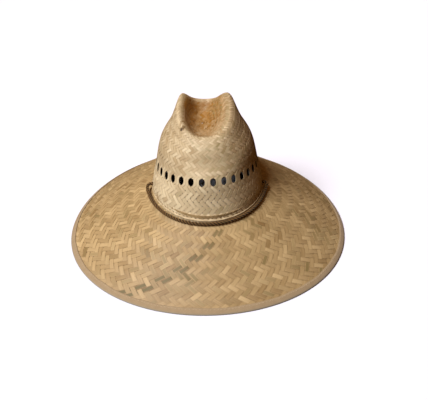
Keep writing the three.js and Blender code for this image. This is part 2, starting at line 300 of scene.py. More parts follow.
def add_cord(name, node, route, step=0.85, sides=24):
    """The cord along a route, closed by a small cone at each end."""
    path, travelled = smooth_route(route, step)
    rings, crest = twisted_cord(path, travelled, sides)
    tips = np.broadcast_to(path[[0, -1], None], (2, sides, 3))
    rings = np.concatenate([tips[:1], rings, tips[1:]])
    faces = quads_between(len(rings), sides)
    piece = make_piece(name, rings, faces, cord_material, node)
    shade = np.zeros((len(rings), sides, 4))
    shade[..., 0] = (crest - CORD_FILL) / (1 - CORD_FILL)
    shade[..., 1] = np.concatenate([[0], travelled, travelled[-1:]])[:, None] / CORD_LAY
    shade[..., 2] = (np.arange(sides) / sides)[None, :]
    paint(piece, "cord", shade)
    print(name, "is", round(float(travelled[-1]), 1), "mm long")
    return piece, path, float(travelled[-1])


# %% [markdown]
# ### Finish of the cord
# The cord is spun from brown cotton and rayon yarn. It has a soft, dry surface: a high roughness
# with hardly any sheen. Its grooves are painted nearly black as painted shade, and its tops are
# painted paler as a painted highlight. The height above the groove comes with each vertex, so the
# colours follow the strands exactly.

# %% Spun yarn
cord_material, tree, surface = new_material("spun_cotton_cord")
shade = add_node(tree, "Attribute", attribute_name="cord")
crest = add_node(tree, "SeparateColor", {"Color": shade.outputs["Color"]}).outputs["Red"]
place = add_node(tree, "TexCoord").outputs["Object"]
blotch = add_node(tree, "TexNoise", {"Vector": place, "Scale": 90.0}).outputs["Fac"]
fluff = add_node(tree, "TexNoise", {"Vector": place, "Scale": 1100.0}).outputs["Fac"]
# painted shade: the grooves go nearly black; painted highlight: the tops go pale
groove_shaded_colour = blend(tree, crest, "#140a03", "#5c3d19")
top = calculate(tree, "POWER", calculate(tree, "MULTIPLY", crest, fluff), 1.6)
highlit_tops = blend(tree, top, groove_shaded_colour, "#b08a52")
olive_share = ramp(tree, blotch, 0.45, 0.7, top=0.5)
tinted = blend(tree, olive_share, highlit_tops, "#4d4122")
put_in(tree, surface, {"Base Color": tinted, "Roughness": 0.85, "Sheen Weight": 0.1, "IOR": 1.3})
emboss(tree, surface, fluff, strength=0.5, depth=0.4)

# %% Both stretches of the cord
_, _, crown_length = add_cord("crown_cord_twist", "crown_cord", CROWN_CORD_ROUTE)
chin_cord, chin_path, chin_length = add_cord("chin_cord_twist", "chin_cord", CHIN_CORD_ROUTE)
print("whole loop of cord in millimetres:", round(crown_length + chin_length))

# %% [markdown]
# ## The skin of the crown
# The strips need something to run on: a smooth skin that can be asked for a point at any turn
# round the hat and any height. The crown's rings are the ones of the CAD model. Each ring is an
# ellipse that grows boxier to the top, and the rim of the dent is lifted at two points behind the
# middle, which makes the two horns.

# %% Rings of the crown
RING_COLUMNS = "half front back middle side fore aft horn square taper aside tilt".split()
CROWN_TABLE = np.array([
    [84.9, 103, 107, 0, 0, 0, 0, 0, 2, 0, 1.4, 0],  # foot
    [82.2, 96, 101.5, 0, 19.5, 22, 21, 0, 2.05, 0, 1.4, 0],  # low
    [76.9, 89.7, 94, 0, 43.6, 59.2, 53, 0, 1.85, 0, 0.8, 1.6],  # vents
    [69.2, 76, 84, 0, 78, 79, 80, 0, 2.1, 0, 1, 0],  # upper
    [54.7, 66, 73, 0, 102, 98.5, 100, 2, 2.2, 0.04, 1, 0],  # shoulder
    [40.4, 53, 57, 0, 121, 110.5, 114.6, 12.8, 3, 0.17, 0, 0],  # ridge
    [28.8, 44.5, 50, 1, 119.3, 108.8, 113, 10.9, 2.8, 0.15, -2.5, 0],  # brow
    [17.6, 30, 38, 4, 107.5, 101.5, 101.5, 3, 2.3, 0.08, -5.5, 0],  # wall
    [9, 14, 16, 12, 100, 98, 98, 0, 2, 0, -5, 0],  # floor
    [0.4, 0.4, 0.4, 14, 98, 98, 98, 0, 2, 0, -5, 0],  # centre
])
STRAW = 1.6
FOOT_HEIGHT = 77.5
HORN_ANGLE = 46
HORN_SPREAD = 26
TURNS = 2880  # samples round the hat; the first one is the middle of the front
SKIN_TURNS = 1440  # and the even ones that are kept
angles = np.arange(TURNS) * 2 * np.pi / TURNS - np.pi / 2


def soft_power(value, power):
    """The value's size to a power, with the value's own sign."""
    return np.sign(value) * np.abs(value) ** power


def crown_ring(row, angle):
    """x = aside + half (1 + taper sin) cos^(2/square), y = middle + reach sin^(2/square), and a height
    that goes from the side's to the front's or back's with sin squared, plus the horns' rise
    and a tilt that grows with the cosine."""
    ring = dict(zip(RING_COLUMNS, row))
    cosine, sine = np.cos(angle), np.sin(angle)
    reach = np.where(sine < 0, ring["front"], ring["back"])
    x = ring["half"] * (1 + ring["taper"] * sine) * soft_power(cosine, 2 / ring["square"])
    x = x + ring["aside"]
    y = ring["middle"] + reach * soft_power(sine, 2 / ring["square"])
    lengthwise = np.where(sine < 0, ring["fore"], ring["aft"])
    behind = np.degrees(np.arctan2(sine, np.abs(cosine)))
    rise = ring["horn"] * np.exp(-(((behind - HORN_ANGLE) / HORN_SPREAD) ** 2))
    level = ring["side"] + (lengthwise - ring["side"]) * sine**2 + ring["tilt"] * cosine
    z = FOOT_HEIGHT + level + rise
    return np.stack([x, y, z], axis=-1)


def through(stations, place):
    """Smooth curves through rows of points, at row numbers with fractions: with u the fraction
    and a, b, c, d the rows around it, b + u/2 (c - a + u (2a - 5b + 4c - d + u (3b - a - 3c + d)))."""
    last = len(stations) - 1
    row = np.clip(np.floor(place).astype(int), 0, last - 1)
    u = (place - row).reshape((-1,) + (1,) * (stations.ndim - 1))
    b, c = stations[row], stations[row + 1]
    first = (row == 0).reshape(u.shape)
    a = np.where(first, 2 * stations[0] - stations[1], stations[np.maximum(row - 1, 0)])
    d = stations[np.minimum(row + 2, last)]
    return b + 0.5 * u * (c - a + u * (2 * a - 5 * b + 4 * c - d + u * (3 * b - a - 3 * c + d)))


# %% [markdown]
# The strips of a plait lie evenly round the hat, but equal steps of angle are not equal steps
# along a boxy ring. So each ring is read again at equal lengths of its girth. All rings are done
# in one interpolation: each ring's running length is scaled to 0...1 and moved up by two for each
# ring before it, which keeps the whole list rising.


# %% An even skin with its directions
def evenly_round(rings, turns):
    """Each ring's points at equal steps of its girth, from the middle of the front."""
    closed = np.concatenate([rings, rings[:, :1]], axis=1)
    run = travelled_along(closed)
    run = run / run[:, -1:] + 2 * np.arange(len(rings))[:, None]
    wanted = (np.arange(turns) / turns)[None, :] + 2 * np.arange(len(rings))[:, None]
    return np.stack([np.interp(wanted, run.ravel(), closed[..., k].ravel()) for k in range(3)], -1)


def make_skin(points, facing):
    """A grid of points (row, turn) with its directions round and along and its normal."""
    around = (np.roll(points, -1, 1) - np.roll(points, 1, 1)) * points.shape[1] / (4 * np.pi)
    along = np.gradient(points, axis=0)
    normal = unit(np.cross(around, along)) * facing
    return {"points": points, "around": around, "along": along, "normal": normal}


def read(grid, turn, row):
    """The grid's value at a turn in radians and a row number: a blend of the four nearest."""
    rows, columns = grid.shape[:2]
    column = np.mod(turn / (2 * np.pi), 1.0) * columns
    left = np.floor(column).astype(int)
    low = np.clip(np.floor(row).astype(int), 0, rows - 2)
    across = (column - left)[..., None]
    up = np.clip(row - low, 0, 1)[..., None]
    left = left % columns
    right = (left + 1) % columns
    lower = grid[low, left] * (1 - across) + grid[low, right] * across
    upper = grid[low + 1, left] * (1 - across) + grid[low + 1, right] * across
    return lower * (1 - up) + upper * up


LEVEL_STEP = 0.025  # rows of the grid, in rings of the crown table
crown_levels = np.arange(0, len(CROWN_TABLE) - 1 + LEVEL_STEP / 2, LEVEL_STEP)
stations = np.stack([crown_ring(row, angles) for row in CROWN_TABLE])
outer = make_skin(evenly_round(through(stations, crown_levels), SKIN_TURNS), 1)
crown_skin = make_skin(outer["points"] - outer["normal"] * STRAW / 2, 1)
print("crown skin has", crown_skin["points"].shape[:2], "points, in mm up to",
      round(float(crown_skin["points"][..., 2].max()), 1))

# %% [markdown]
# ## The skin of the brim
# The brim is one sloping ring from the crown's foot to a nearly round rim that is a little fuller
# at its front corners. Its inner edge is turned up inside the crown as a collar, 11 mm high, to
# which the crown is sewn.

# %% The brim's stations
RIM_HALF_WIDTH = 212.6
RIM_HALF_LENGTH = 210.8
RIM_EGG = 0.017
RIM_HEIGHT = 1.7
BRIM_DROOP = 0.2
GAP = 0.35
COLLAR_HEIGHTS = (11, 8, 5, 2, 0.2)
COLLAR_DEPTH = STRAW * 1.5 + GAP  # from the crown's outer skin to the middle of the collar


def rim_ring(angle):
    """An ellipse pulled in where the sine of three times the angle is high."""
    egg = 1 - RIM_EGG * np.sin(3 * angle)
    x = RIM_HALF_WIDTH * egg * np.cos(angle)
    y = RIM_HALF_LENGTH * (egg * np.sin(angle) - RIM_EGG)
    return np.stack([x, y, np.full_like(x, RIM_HEIGHT)], axis=-1)


def brim_ring(share):
    """From the crown's foot to the rim: straight in plan, and in height by 0.8 s + 0.2 s^2."""
    start = crown_ring(CROWN_TABLE[0], angles) - np.array([0, 0, STRAW])
    end = rim_ring(angles)
    ring = start + (end - start) * share
    fall = (1 - BRIM_DROOP) * share + BRIM_DROOP * share**2
    ring[:, 2] = start[:, 2] + (end[:, 2] - start[:, 2]) * fall
    return ring


def collar_ring(height, depth):
    """The crown's foot moved in by the depth and raised to the height."""
    foot = crown_ring(CROWN_TABLE[0], angles)
    inward = -unit(foot * np.array([1, 1, 0]))
    ring = foot + inward * depth
    ring[:, 2] = FOOT_HEIGHT + height
    return ring


collar = [collar_ring(height, COLLAR_DEPTH) for height in COLLAR_HEIGHTS]
bend = [collar_ring(-1.0, COLLAR_DEPTH - 0.5)]
SLOPE_SHARES = (0.012, 0.04, 0.1, 0.2, 0.35, 0.5, 0.65, 0.8, 0.9, 1.0)
slope = [brim_ring(share) for share in SLOPE_SHARES]
COLLAR_ROWS = len(collar) + len(bend)  # the row where the slope starts
brim_stations = np.stack(collar + bend + slope)
BRIM_STEP = 0.05  # rows of the grid, in stations of the brim
brim_places = np.arange(0, len(brim_stations) - 1 + 0.01, BRIM_STEP)
brim_skin = make_skin(evenly_round(through(brim_stations, brim_places), SKIN_TURNS), -1)
print("brim skin has", brim_skin["points"].shape[:2], "points")

# %% [markdown]
# ## How a strip runs
# A plait has two families of strips that mirror each other. If every strip turns round the hat by
# the same running amount as it climbs, a strip of one family meets the strips of the other at
# even steps of that amount. Counting those meetings gives each place a row number; a strip is on
# top for two meetings and below for two, and that draws the zigzag rows of the real plait. The
# strip's height over the skin is a squashed sine of the row number.


# %% Strips on a skin
def turn_gained(skin, lean):
    """Running sum of tan(lean) times the way up over the mean radius, for each row of the skin."""
    step = np.linalg.norm(np.diff(skin["points"], axis=0), axis=2).mean(axis=1)
    radius = np.linalg.norm(skin["around"], axis=2).mean(axis=1)
    slant = np.tan((lean[1:] + lean[:-1]) / 2)
    return np.concatenate([[0], np.cumsum(slant * step / ((radius[1:] + radius[:-1]) / 2))])


STRIP_THICKNESS = 0.4
NO_OVERLAP = 0.98
STEPS_PER_CROSSING = 5


def plait_height(crossing):
    """Squashed sine with a period of four crossings: above 0 from crossing -0.5 to 1.5."""
    sharp = 2.0
    return np.tanh(sharp * np.sin((crossing + 0.5) * np.pi / 2)) / np.tanh(sharp)


def nearness(points, middles, reach):
    """exp(-(distance / reach)^2), with the distance to the nearest of the middles."""
    distance = np.linalg.norm(points[:, :, None] - middles, axis=-1).min(axis=2)
    return np.exp(-((distance / reach) ** 2))


HOLE_REACH = 2.2  # millimetres from a small hole in which the strips are slimmer
HOLE_SLIM = 0.88  # share of its width that a strip loses in the middle of the hole
HOLE_SHADE = 0.9  # how much darker the straw is painted there, as painted shade of the hole
SHADE_SPOT_HOLES = 2  # the first two holes are closed spots painted as shade: open ones would show the floor


def lay_strips(skin, starts, turn, rows, lift, share, room=1.0, holes=None):
    """Corner lines of flat strips. Strip i is at turn starts[i] + turn[i] in each sampled row; its
    edges are half its width away on the skin, square to its way, and each has two corners. The
    width is a share of the way from one strip to the next along the ring, or less where the
    strips come so near each other that they would overlap; room is what is left of that way.
    Near a small hole a strip is slimmer."""
    turns = starts[:, None] + turn
    rows = np.broadcast_to(rows, turns.shape)
    centre = read(skin["points"], turns, rows)
    around, along = (read(skin[way], turns, rows) for way in ("around", "along"))
    normal = unit(read(skin["normal"], turns, rows))
    ahead = unit(around * (np.gradient(turn, axis=1) / np.gradient(rows, axis=1))[..., None] + along)
    left = unit(np.cross(normal, ahead))
    spacing = around * (2 * np.pi / len(starts))
    pitch = np.abs(np.sum(spacing * left, axis=-1))
    width = np.minimum(share * np.linalg.norm(spacing, axis=-1), NO_OVERLAP * pitch * room)
    if holes is not None:
        width = width * (1 - HOLE_SLIM * nearness(centre, holes, HOLE_REACH))
    half = width[..., None] / 2 * left
    aa, al, ll = (np.sum(p * q, -1) for p, q in ((around, around), (around, along), (along, along)))
    ha, hl = np.sum(half * around, -1), np.sum(half * along, -1)
    determinant = aa * ll - al * al
    to_turn = (ll * ha - al * hl) / determinant
    to_row = (aa * hl - al * ha) / determinant
    raised = normal * lift[..., None]
    left_edge, right_edge = (
        read(skin["points"], turns + side * to_turn, rows + side * to_row) + raised
        for side in (1, -1)
    )
    thick = normal * STRIP_THICKNESS / 2
    corners = [left_edge + thick, right_edge + thick, right_edge - thick, left_edge - thick]
    return np.stack(corners, axis=2), travelled_along(centre), width


# %% [markdown]
# A strip has four corner lines, so its faces are four quads for each step and a quad at each end.
# It gets two sets of pattern coordinates: one in strip widths, for the fibres that run along it,
# and one that lays all strips beside each other without overlap, in which an export can store
# their colours.


# %% Strips as one mesh
def strip_faces(count, steps):
    """Quads round and along each strip, and the two that close its ends."""
    first = np.arange(count)[:, None] * steps * 4
    start = first + np.array([3, 2, 1, 0])
    end = first + (steps - 1) * 4 + np.arange(4)
    return np.concatenate([quads_between(steps, 4, count), start, end])


def strip_layout(near, far, low, high):
    """Pattern coordinates of each quad's corners: (near, low), (near, high), (far, high) and
    (far, low); the two quads that close a strip's ends get zeros."""
    pairs = (near, low), (near, high), (far, high), (far, low)
    quads = np.stack([np.stack(np.broadcast_arrays(u, v), axis=-1) for u, v in pairs], axis=3)
    return np.concatenate([quads.reshape(-1, 2), np.zeros((len(low) * 2 * 4, 2))])


ROOM_LOW = np.array([0.03, 0.47, 0.50, 0.94])  # where each side of a strip starts and ends in
ROOM_HIGH = np.array([0.47, 0.50, 0.94, 0.97])  # the room that the strip has in the export


def add_strips(name, corners, length, width, colours, material, replaced):
    """One object of all strips of a family, with their colours and both sets of coordinates."""
    count, steps = corners.shape[:2]
    faces = strip_faces(count, steps)
    piece = make_piece(name, corners, faces, material, replaced, smooth=False)
    paint(piece, "straw", np.repeat(colours[:, :, None, :], 4, axis=2))
    strip = np.arange(count)[:, None, None]
    along = length / np.median(width)
    edge = np.array([0.0, 1.0, 1.0, 0.0]) + strip * 2
    next_edge = np.array([1.0, 1.0, 0.0, 0.0]) + strip * 2
    lay_out(piece, "fibre", strip_layout(along[:, :-1, None], along[:, 1:, None], edge, next_edge))
    step = np.arange(steps - 1)[None, :, None] / (steps - 1)
    low, high = ((strip + places) / count for places in (ROOM_LOW, ROOM_HIGH))
    lay_out(piece, "OFBake", strip_layout(step, step + 1 / (steps - 1), low, high))
    return piece


# %% [markdown]
# ### Finish of the straw
# The strips are split from dried palm leaf. Leaf has long parallel fibres and a waxy skin, so it
# is a little glossy along its length and its colour changes from strip to strip: cream where the
# leaf was young, ochre and brown where it was old, and a grey green where it dried in the shade.
# Each visible float also differs a little, because it catches the light at its own slant. The
# colours of strips and floats come with the vertices; the fibres are a noise drawn out along the
# strip, four or five to its width, which is coarser than real fibres but shows at this distance.
# The cut edges of a strip are painted darker, as painted shade between the strips.


# %% Palm leaf
FIBRE_SCALE = (0.35, 5.0, 1.0)  # fibres in a strip's width, along it and across it
FIBRE_CONTRAST = 0.55
LEFT_EDGE_SHADE = (0.08, 0.25)  # shares of the width between which the edge's painted shade ends
RIGHT_EDGE_SHADE = (0.92, 0.78)
# painted shade: the colour of a closed hole, as dark as the inside of the hat
HOLE_SHADE_COLOUR = "#2a1a0a"


def palm_leaf(name, deep, pale, olive, tan, edge, edge_shade_share):
    """A material that reads tone, olive and tan from the strip and draws fibres along it; its edge
    colour is painted shade. The fourth channel is 1, and 0 in a spot painted dark as the shade
    inside the hat."""
    material, tree, surface = new_material(name)
    shade = add_node(tree, "Attribute", attribute_name="straw")
    parts = add_node(tree, "SeparateColor", {"Color": shade.outputs["Color"]}).outputs
    flat = add_node(tree, "UVMap", uv_map="fibre").outputs["UV"]
    drawn_out = add_node(tree, "Mapping", {"Vector": flat, "Scale": FIBRE_SCALE})
    fibres = add_node(tree, "TexNoise", {
        "Vector": drawn_out.outputs["Vector"], "Scale": 1.0, "Detail": 3.0, "Roughness": 0.6,
    }).outputs["Fac"]
    streak = calculate(tree, "SUBTRACT", fibres, 0.5)
    tone = calculate(tree, "MULTIPLY_ADD", streak, FIBRE_CONTRAST, parts["Red"], use_clamp=True)
    # the tan channel brings tan straw, and on the crown painted shade as well
    tanned_and_shaded = blend(tree, parts["Blue"], blend(tree, tone, deep, pale), tan)
    across = add_node(tree, "SeparateXYZ", {"Vector": flat}).outputs["Y"]
    across = calculate(tree, "PINGPONG", across, 1.0)
    from_left, from_right = (
        ramp(tree, across, *places, kind="SMOOTHSTEP") for places in (LEFT_EDGE_SHADE, RIGHT_EDGE_SHADE)
    )
    core = calculate(tree, "MULTIPLY", from_left, from_right)
    aged = blend(tree, calculate(tree, "MULTIPLY", core, parts["Green"]), tanned_and_shaded, olive)
    # painted shade along the strip's cut edges
    edge_shaded = blend(tree, ramp(tree, core, 1.0, 0.0, top=edge_shade_share), aged, edge)
    grain = add_node(tree, "Tangent", direction_type="UV_MAP", uv_map="fibre")
    put_in(tree, surface, {
        # painted shade: a dark spot where a hole would show the inside of the hat
        "Base Color": blend(tree, shade.outputs["Alpha"], HOLE_SHADE_COLOUR, edge_shaded),
        "Tangent": grain.outputs["Tangent"], "Anisotropic": 0.5, "Roughness": 0.55, "IOR": 1.4,
    })
    emboss(tree, surface, fibres, strength=0.35, depth=0.5)
    return material


# the fifth colour of each is the painted shade along the strips' edges
crown_leaf = palm_leaf(
    "crown_palm_leaf", "#94723f", "#ecdab2", "#857b49", "#9a6a29", "#6b562a", 0.2
)
brim_leaf = palm_leaf(
    "brim_palm_leaf", "#86683d", "#d5b986", "#6b5f33", "#a37b43", "#654d28", 0.15
)

# %% [markdown]
# ## The brim's plait
# 102 strips of each family give floats of the size in the photograph. The strips lean more the
# further out they are, from 32 to 56 degrees off the radius, so the floats grow wider to the rim.
# In the photograph two neighbouring strips are much darker than the rest; their place was read off
# in turns and shares of the brim's slope.

# %% Course of the brim's strips
BRIM_STRIPS = 102
BRIM_LEAN = np.radians([32, 56])  # at the crown's foot and at the rim
BRIM_COVER = 0.92  # width of a strip over the distance from one to the next
BRIM_LIFT = 0.27

brim_rows = np.arange(len(brim_places))
slope_share = np.interp(brim_places - COLLAR_ROWS, np.arange(len(slope)), SLOPE_SHARES)
brim_lean = BRIM_LEAN[0] + (BRIM_LEAN[1] - BRIM_LEAN[0]) * slope_share
brim_turn = turn_gained(brim_skin, brim_lean)
DARK_SHARE = 0.553  # two floats of the dark strips have their middle here, at this turn
DARK_TURN = np.radians(-13.75)
FLOAT_MIDDLE = 0.5  # a float lies over crossings 0 and 1
turn_at_dark = np.interp(DARK_SHARE, slope_share, brim_turn)
brim_crossing = (brim_turn - turn_at_dark) * BRIM_STRIPS / np.pi + FLOAT_MIDDLE
brim_steps = int((brim_crossing[-1] - brim_crossing[0]) * STEPS_PER_CROSSING)
crossing = np.linspace(brim_crossing[0], brim_crossing[-1], brim_steps)
sampled_rows = np.interp(crossing, brim_crossing, brim_rows)
sampled_turn = crossing * np.pi / BRIM_STRIPS
sampled_lean = np.interp(sampled_rows, brim_rows, brim_lean)
sampled_share = np.interp(sampled_rows, brim_rows, slope_share)
print("crossings from collar to rim:", round(float(brim_crossing[-1] - brim_crossing[0]), 1),
      "with", brim_steps, "samples for each strip")

# %% Strips of the brim
SEED = 7
random = np.random.default_rng(SEED)
PATCH = 75  # millimetres, about, from one pale patch to the next
WAVES = random.normal(0, 2 * np.pi / PATCH, (9, 2))
WAVE_STARTS = random.uniform(0, 2 * np.pi, 9)


def patches(points, shift):
    """Sum of nine waves in random directions over the plan, about -1 to 1."""
    return np.sin(points[..., :2] @ WAVES.T + WAVE_STARTS + shift).sum(axis=-1) / 4


def strip_tones(crossing, points, shift, spread_strip, spread_float, middle, patch_share):
    """Tone of each strip, plus that of each of its floats, of which one starts every 4 crossings,
    plus the patches."""
    count = len(points)
    floats = np.round((crossing - 0.5) / 4).astype(int)
    floats -= floats.min()
    strip = random.normal(middle, spread_strip, (count, 1))
    tone = strip + random.normal(0, spread_float, (count, floats.max() + 1))[:, floats]
    return tone + patch_share * patches(points, shift)


def shades(tone, olive, tan):
    """Tone, olive and tan of every vertex as a colour with a full fourth channel."""
    olive = np.broadcast_to(olive, tone.shape)
    tan = np.broadcast_to(tan, tone.shape)
    return np.clip(np.stack([tone, olive, tan, np.ones_like(tone)], axis=-1), 0, 1)


# spread from strip to strip, spread from float to float, middle, and share of the patches
BRIM_TONE, BRIM_OLIVE = (0.06, 0.1, 0.5, 0.06), (0.1, 0.16, 0.0, 0.16)
DARK_STRIPS = [0, 1]
DARK_TONE = 0.25  # how much darker they are
DARK_OLIVE = (0.6, 0.95)  # at the crown and at the rim
brim_strip_turns = 2 * np.pi * np.arange(BRIM_STRIPS) / BRIM_STRIPS
starts = brim_strip_turns + DARK_TURN - FLOAT_MIDDLE * np.pi / BRIM_STRIPS
for family, sense, ahead in (("left", -1, 0), ("right", 1, 2)):  # ahead by so many crossings
    seen = crossing + ahead
    turn = np.broadcast_to(sense * sampled_turn, (BRIM_STRIPS, brim_steps))
    lift = np.broadcast_to(BRIM_LIFT * plait_height(seen), turn.shape)
    corners, length, width = lay_strips(
        brim_skin, starts, turn, sampled_rows, lift, BRIM_COVER * np.cos(sampled_lean)
    )
    middle_line = corners[:, :, 0]
    tone = strip_tones(seen, middle_line, 0, *BRIM_TONE)
    olive = strip_tones(seen, middle_line, 2, *BRIM_OLIVE)
    if sense < 0:
        olive[DARK_STRIPS] = DARK_OLIVE[1] + (DARK_OLIVE[0] - DARK_OLIVE[1]) * (1 - sampled_share)
        tone[DARK_STRIPS] -= DARK_TONE
    colours = shades(tone, olive, 0.0)
    add_strips("brim_strips_" + family, corners, length, width, colours, brim_leaf, "brim")
print("width of the brim's strips in mm:", width.min().round(1), "to", width.max().round(1))

# %% [markdown]
# ## The crown's plait
# 64 strips of each family start at the foot, two for each of the 32 bars between the vents. In
# the band of the vents the strips stop leaning: the two strips of one family come together on top
# of the two of the other, and each such bundle of four is a bar, with an opening of about 8 mm
# beside it. Above the band the strips part again. As the crown narrows they grow finer.

# %% Course of the crown's strips
VENTS = 32
VENT_LEVEL = 2.05
VENT_TURN = np.radians(0.75)
CROWN_STRIPS = 2 * VENTS
CROWN_LEAN = np.radians(45)
CROWN_TOP_LEVEL = 7.3
BAND_STRAIGHT = 0.1  # half height of the band in which strips run straight up, in levels
BAND_EASE = 0.09  # and the height over which they turn to and from their lean
BAND_REACH = 0.5  # height over which the strips come together and part again
STACK_MORE = (0.05, 0.09)  # the one family stays on top of the other for so much longer
CROWN_COVER = 0.92  # width of a strip over the distance from one to the next
BAR_SQUEEZE = 0.3  # share of its width that a strip loses at the waist of a bar
CROWN_STEP = 2.2  # longest step between samples along the wall in millimetres
CROWN_LIFT = 0.27
DENT_LIFT = 0.25  # the plait is pressed flat in the dent
DENT_COVER = 1.12  # and its strips lie closer
MIDDLE_SINK = 0.9  # depth by which the two plaits of the dent pass under each other
DIVE_LEVELS = (7.0, 7.3)
CROWN_FAMILIES = (("left", -1, 2), ("right", 1, 0))  # name, sense of the lean, crossings ahead


def smooth_step(low, high, value):
    """0 below low, 1 above high and 3 u^2 - 2 u^3 between them."""
    u = np.clip((value - low) / (high - low), 0, 1)
    return u * u * (3 - 2 * u)


crown_rows = np.arange(len(crown_levels))
from_vents = np.abs(crown_levels - VENT_LEVEL)
in_band = 1 - smooth_step(BAND_STRAIGHT, BAND_STRAIGHT + BAND_EASE, from_vents)
crown_turn = turn_gained(crown_skin, CROWN_LEAN * (1 - in_band))
crown_turn -= np.interp(VENT_LEVEL, crown_levels, crown_turn)
crown_crossing = crown_turn * CROWN_STRIPS / np.pi
wall_step = np.linalg.norm(np.diff(crown_skin["points"], axis=0), axis=2).mean(axis=1)
wall = np.concatenate([[0], np.cumsum(wall_step)])
busy = STEPS_PER_CROSSING * (crown_crossing - crown_crossing[0]) + wall / CROWN_STEP
top_row = CROWN_TOP_LEVEL / LEVEL_STEP
crown_steps = int(np.interp(top_row, crown_rows, busy))
sampled_rows = np.interp(np.linspace(0, np.interp(top_row, crown_rows, busy), crown_steps),
                         busy, crown_rows)
sampled_turn = np.interp(sampled_rows, crown_rows, crown_turn)
crossing = sampled_turn * CROWN_STRIPS / np.pi
print("crossings from foot to dent:", round(float(crossing[-1] - crossing[0]), 1), "with",
      crown_steps, "samples for each strip")

# %% Strips of the crown
SMALL_HOLES = np.array([  # x, y and z of the small holes that open in the top and on its left ridge
    [-34.1, -35.2, 194.4], [-30.2, -32.8, 196.7], [-31.5, -19.1, 197.9], [5.2, 30.1, 181.0],
    [6.6, 19.3, 180.1], [11.9, 9.4, 185.0], [-11.3, 38.7, 179.2], [-9.9, 5.1, 176.0],
    [1.1, -3.8, 176.9], [9.6, -10.0, 183.5], [-17.6, 12.4, 179.9], [15.3, -7.8, 188.5],
    [-2.8, 14.2, 175.8],
])
HORN_SHADE = np.array([[-26.1, 31.1, 196.6]])  # painted shade: the straw inside the left horn is painted darker around here
HORN_SHADE_REACH = 9
# spread from strip to strip, spread from float to float, middle, and share of the patches
CROWN_TONE, CROWN_OLIVE = (0.06, 0.1, 0.58, 0.07), (0.08, 0.14, 0.0, 0.12)
CROWN_TAN = (0.05, 0.1, 0.55, 0.0)
BAR_PALE = 0.1  # the bars between the vents are paler
RIGHT_SHADE_BROWN = 0.38  # the straw of the right side is painted browner, as painted shade
RIGHTWARD = (15, 60)  # from here to there, in millimetres to the right
RIGHT_OLIVE = 0.25  # on the front right the strips that lean right are grey green
OLIVE_FROM, OLIVE_TO = (-15, 25), (40, 65)  # where that comes in and ends
LOW_PALE = (0.28, 0.2)  # the straw below the vents is paler, and paler still on the right, where this lightens the painted shade
LOW_LEVELS = (1.2, 3.0)
DENT_LEVELS = (5.1, 6.6)
BACK_TAN = 0.3  # towards the back of the dent its straw grows more tan
BACKWARD = (-35, 25)
sampled_levels = sampled_rows * LEVEL_STEP
off_vents = np.abs(sampled_levels - VENT_LEVEL)
band_end = BAND_STRAIGHT + BAND_EASE
stacked = 1 - smooth_step(BAND_STRAIGHT + STACK_MORE[0], band_end + STACK_MORE[1], off_vents)
gathered = 1 - smooth_step(0, BAND_REACH, off_vents)
waist = 1 - smooth_step(0, band_end, off_vents)
cover = CROWN_COVER * np.cos(CROWN_LEAN) * (1 - BAR_SQUEEZE * waist)
room = 1 - gathered * (1 - cover[np.argmin(off_vents)])  # way left between the strips of a pair
gather = (1 - room) * np.pi / CROWN_STRIPS
toward_neighbour = np.where(np.arange(CROWN_STRIPS) % 2 == 0, 1.0, -1.0)[:, None]
crown_strip_turns = VENT_TURN + (np.arange(CROWN_STRIPS) - 0.5) * 2 * np.pi / CROWN_STRIPS
in_dent = smooth_step(*DENT_LEVELS, sampled_levels)
low = 1 - smooth_step(*LOW_LEVELS, sampled_levels)
cover = cover * (1 + (DENT_COVER - 1) * in_dent)
lift_height = CROWN_LIFT + (DENT_LIFT - CROWN_LIFT) * in_dent
dive = MIDDLE_SINK * smooth_step(*DIVE_LEVELS, sampled_levels)
for family, sense, ahead in CROWN_FAMILIES:
    seen = crossing + ahead
    turn = sense * sampled_turn[None, :] + toward_neighbour * gather[None, :]
    plait = plait_height(seen) * (1 - stacked) + sense * stacked
    lift = np.broadcast_to(lift_height * plait - dive, turn.shape)
    corners, length, width = lay_strips(
        crown_skin, crown_strip_turns, turn, sampled_rows, lift, cover, room / NO_OVERLAP,
        SMALL_HOLES[SHADE_SPOT_HOLES:],
    )
    middle_line = corners[:, :, 0]
    aside = middle_line[..., 0]
    rightward = smooth_step(*RIGHTWARD, aside)
    tone = strip_tones(seen, middle_line, 1, *CROWN_TONE)
    # painted shade round the small holes
    tone = tone - HOLE_SHADE * nearness(middle_line, SMALL_HOLES, HOLE_REACH)
    # paler below the vents; the extra pale on the right lightens the right side's painted shade
    tone = tone + BAR_PALE * stacked + (LOW_PALE[0] + LOW_PALE[1] * rightward) * low
    olive = strip_tones(seen, middle_line, 3, *CROWN_OLIVE)
    if sense > 0:
        in_olive = smooth_step(*OLIVE_FROM, aside) * (1 - smooth_step(*OLIVE_TO, aside))
        olive = olive + RIGHT_OLIVE * in_olive
    tan = strip_tones(seen, middle_line, 0, *CROWN_TAN)
    tan = tan + BACK_TAN * smooth_step(*BACKWARD, middle_line[..., 1])
    # painted shade inside the left horn, added to the tan
    tan = in_dent * (tan + nearness(middle_line, HORN_SHADE, HORN_SHADE_REACH))
    # painted shade: two holes are closed and coloured dark, as the shade inside the hat
    hole_shade_spot = nearness(middle_line, SMALL_HOLES[:SHADE_SPOT_HOLES], HOLE_REACH)
    # painted shade: the crown's right side is painted browner
    colours = shades(tone, olive, tan + RIGHT_SHADE_BROWN * rightward * (1 - in_dent))
    colours = colours * (1 - hole_shade_spot[..., None])
    add_strips("crown_strips_" + family, corners, length, width, colours, crown_leaf, "crown")
print("width of the crown's strips in mm:", width.min().round(1), "to", width.max().round(1))

# %% [markdown]
# The plait of a real crown starts in the middle of the top with few strips and gains more as it
# widens. The floor of the dent therefore has its own small plait with 20 strips of each family.
# Where the two plaits meet, each dives below the other's edge.

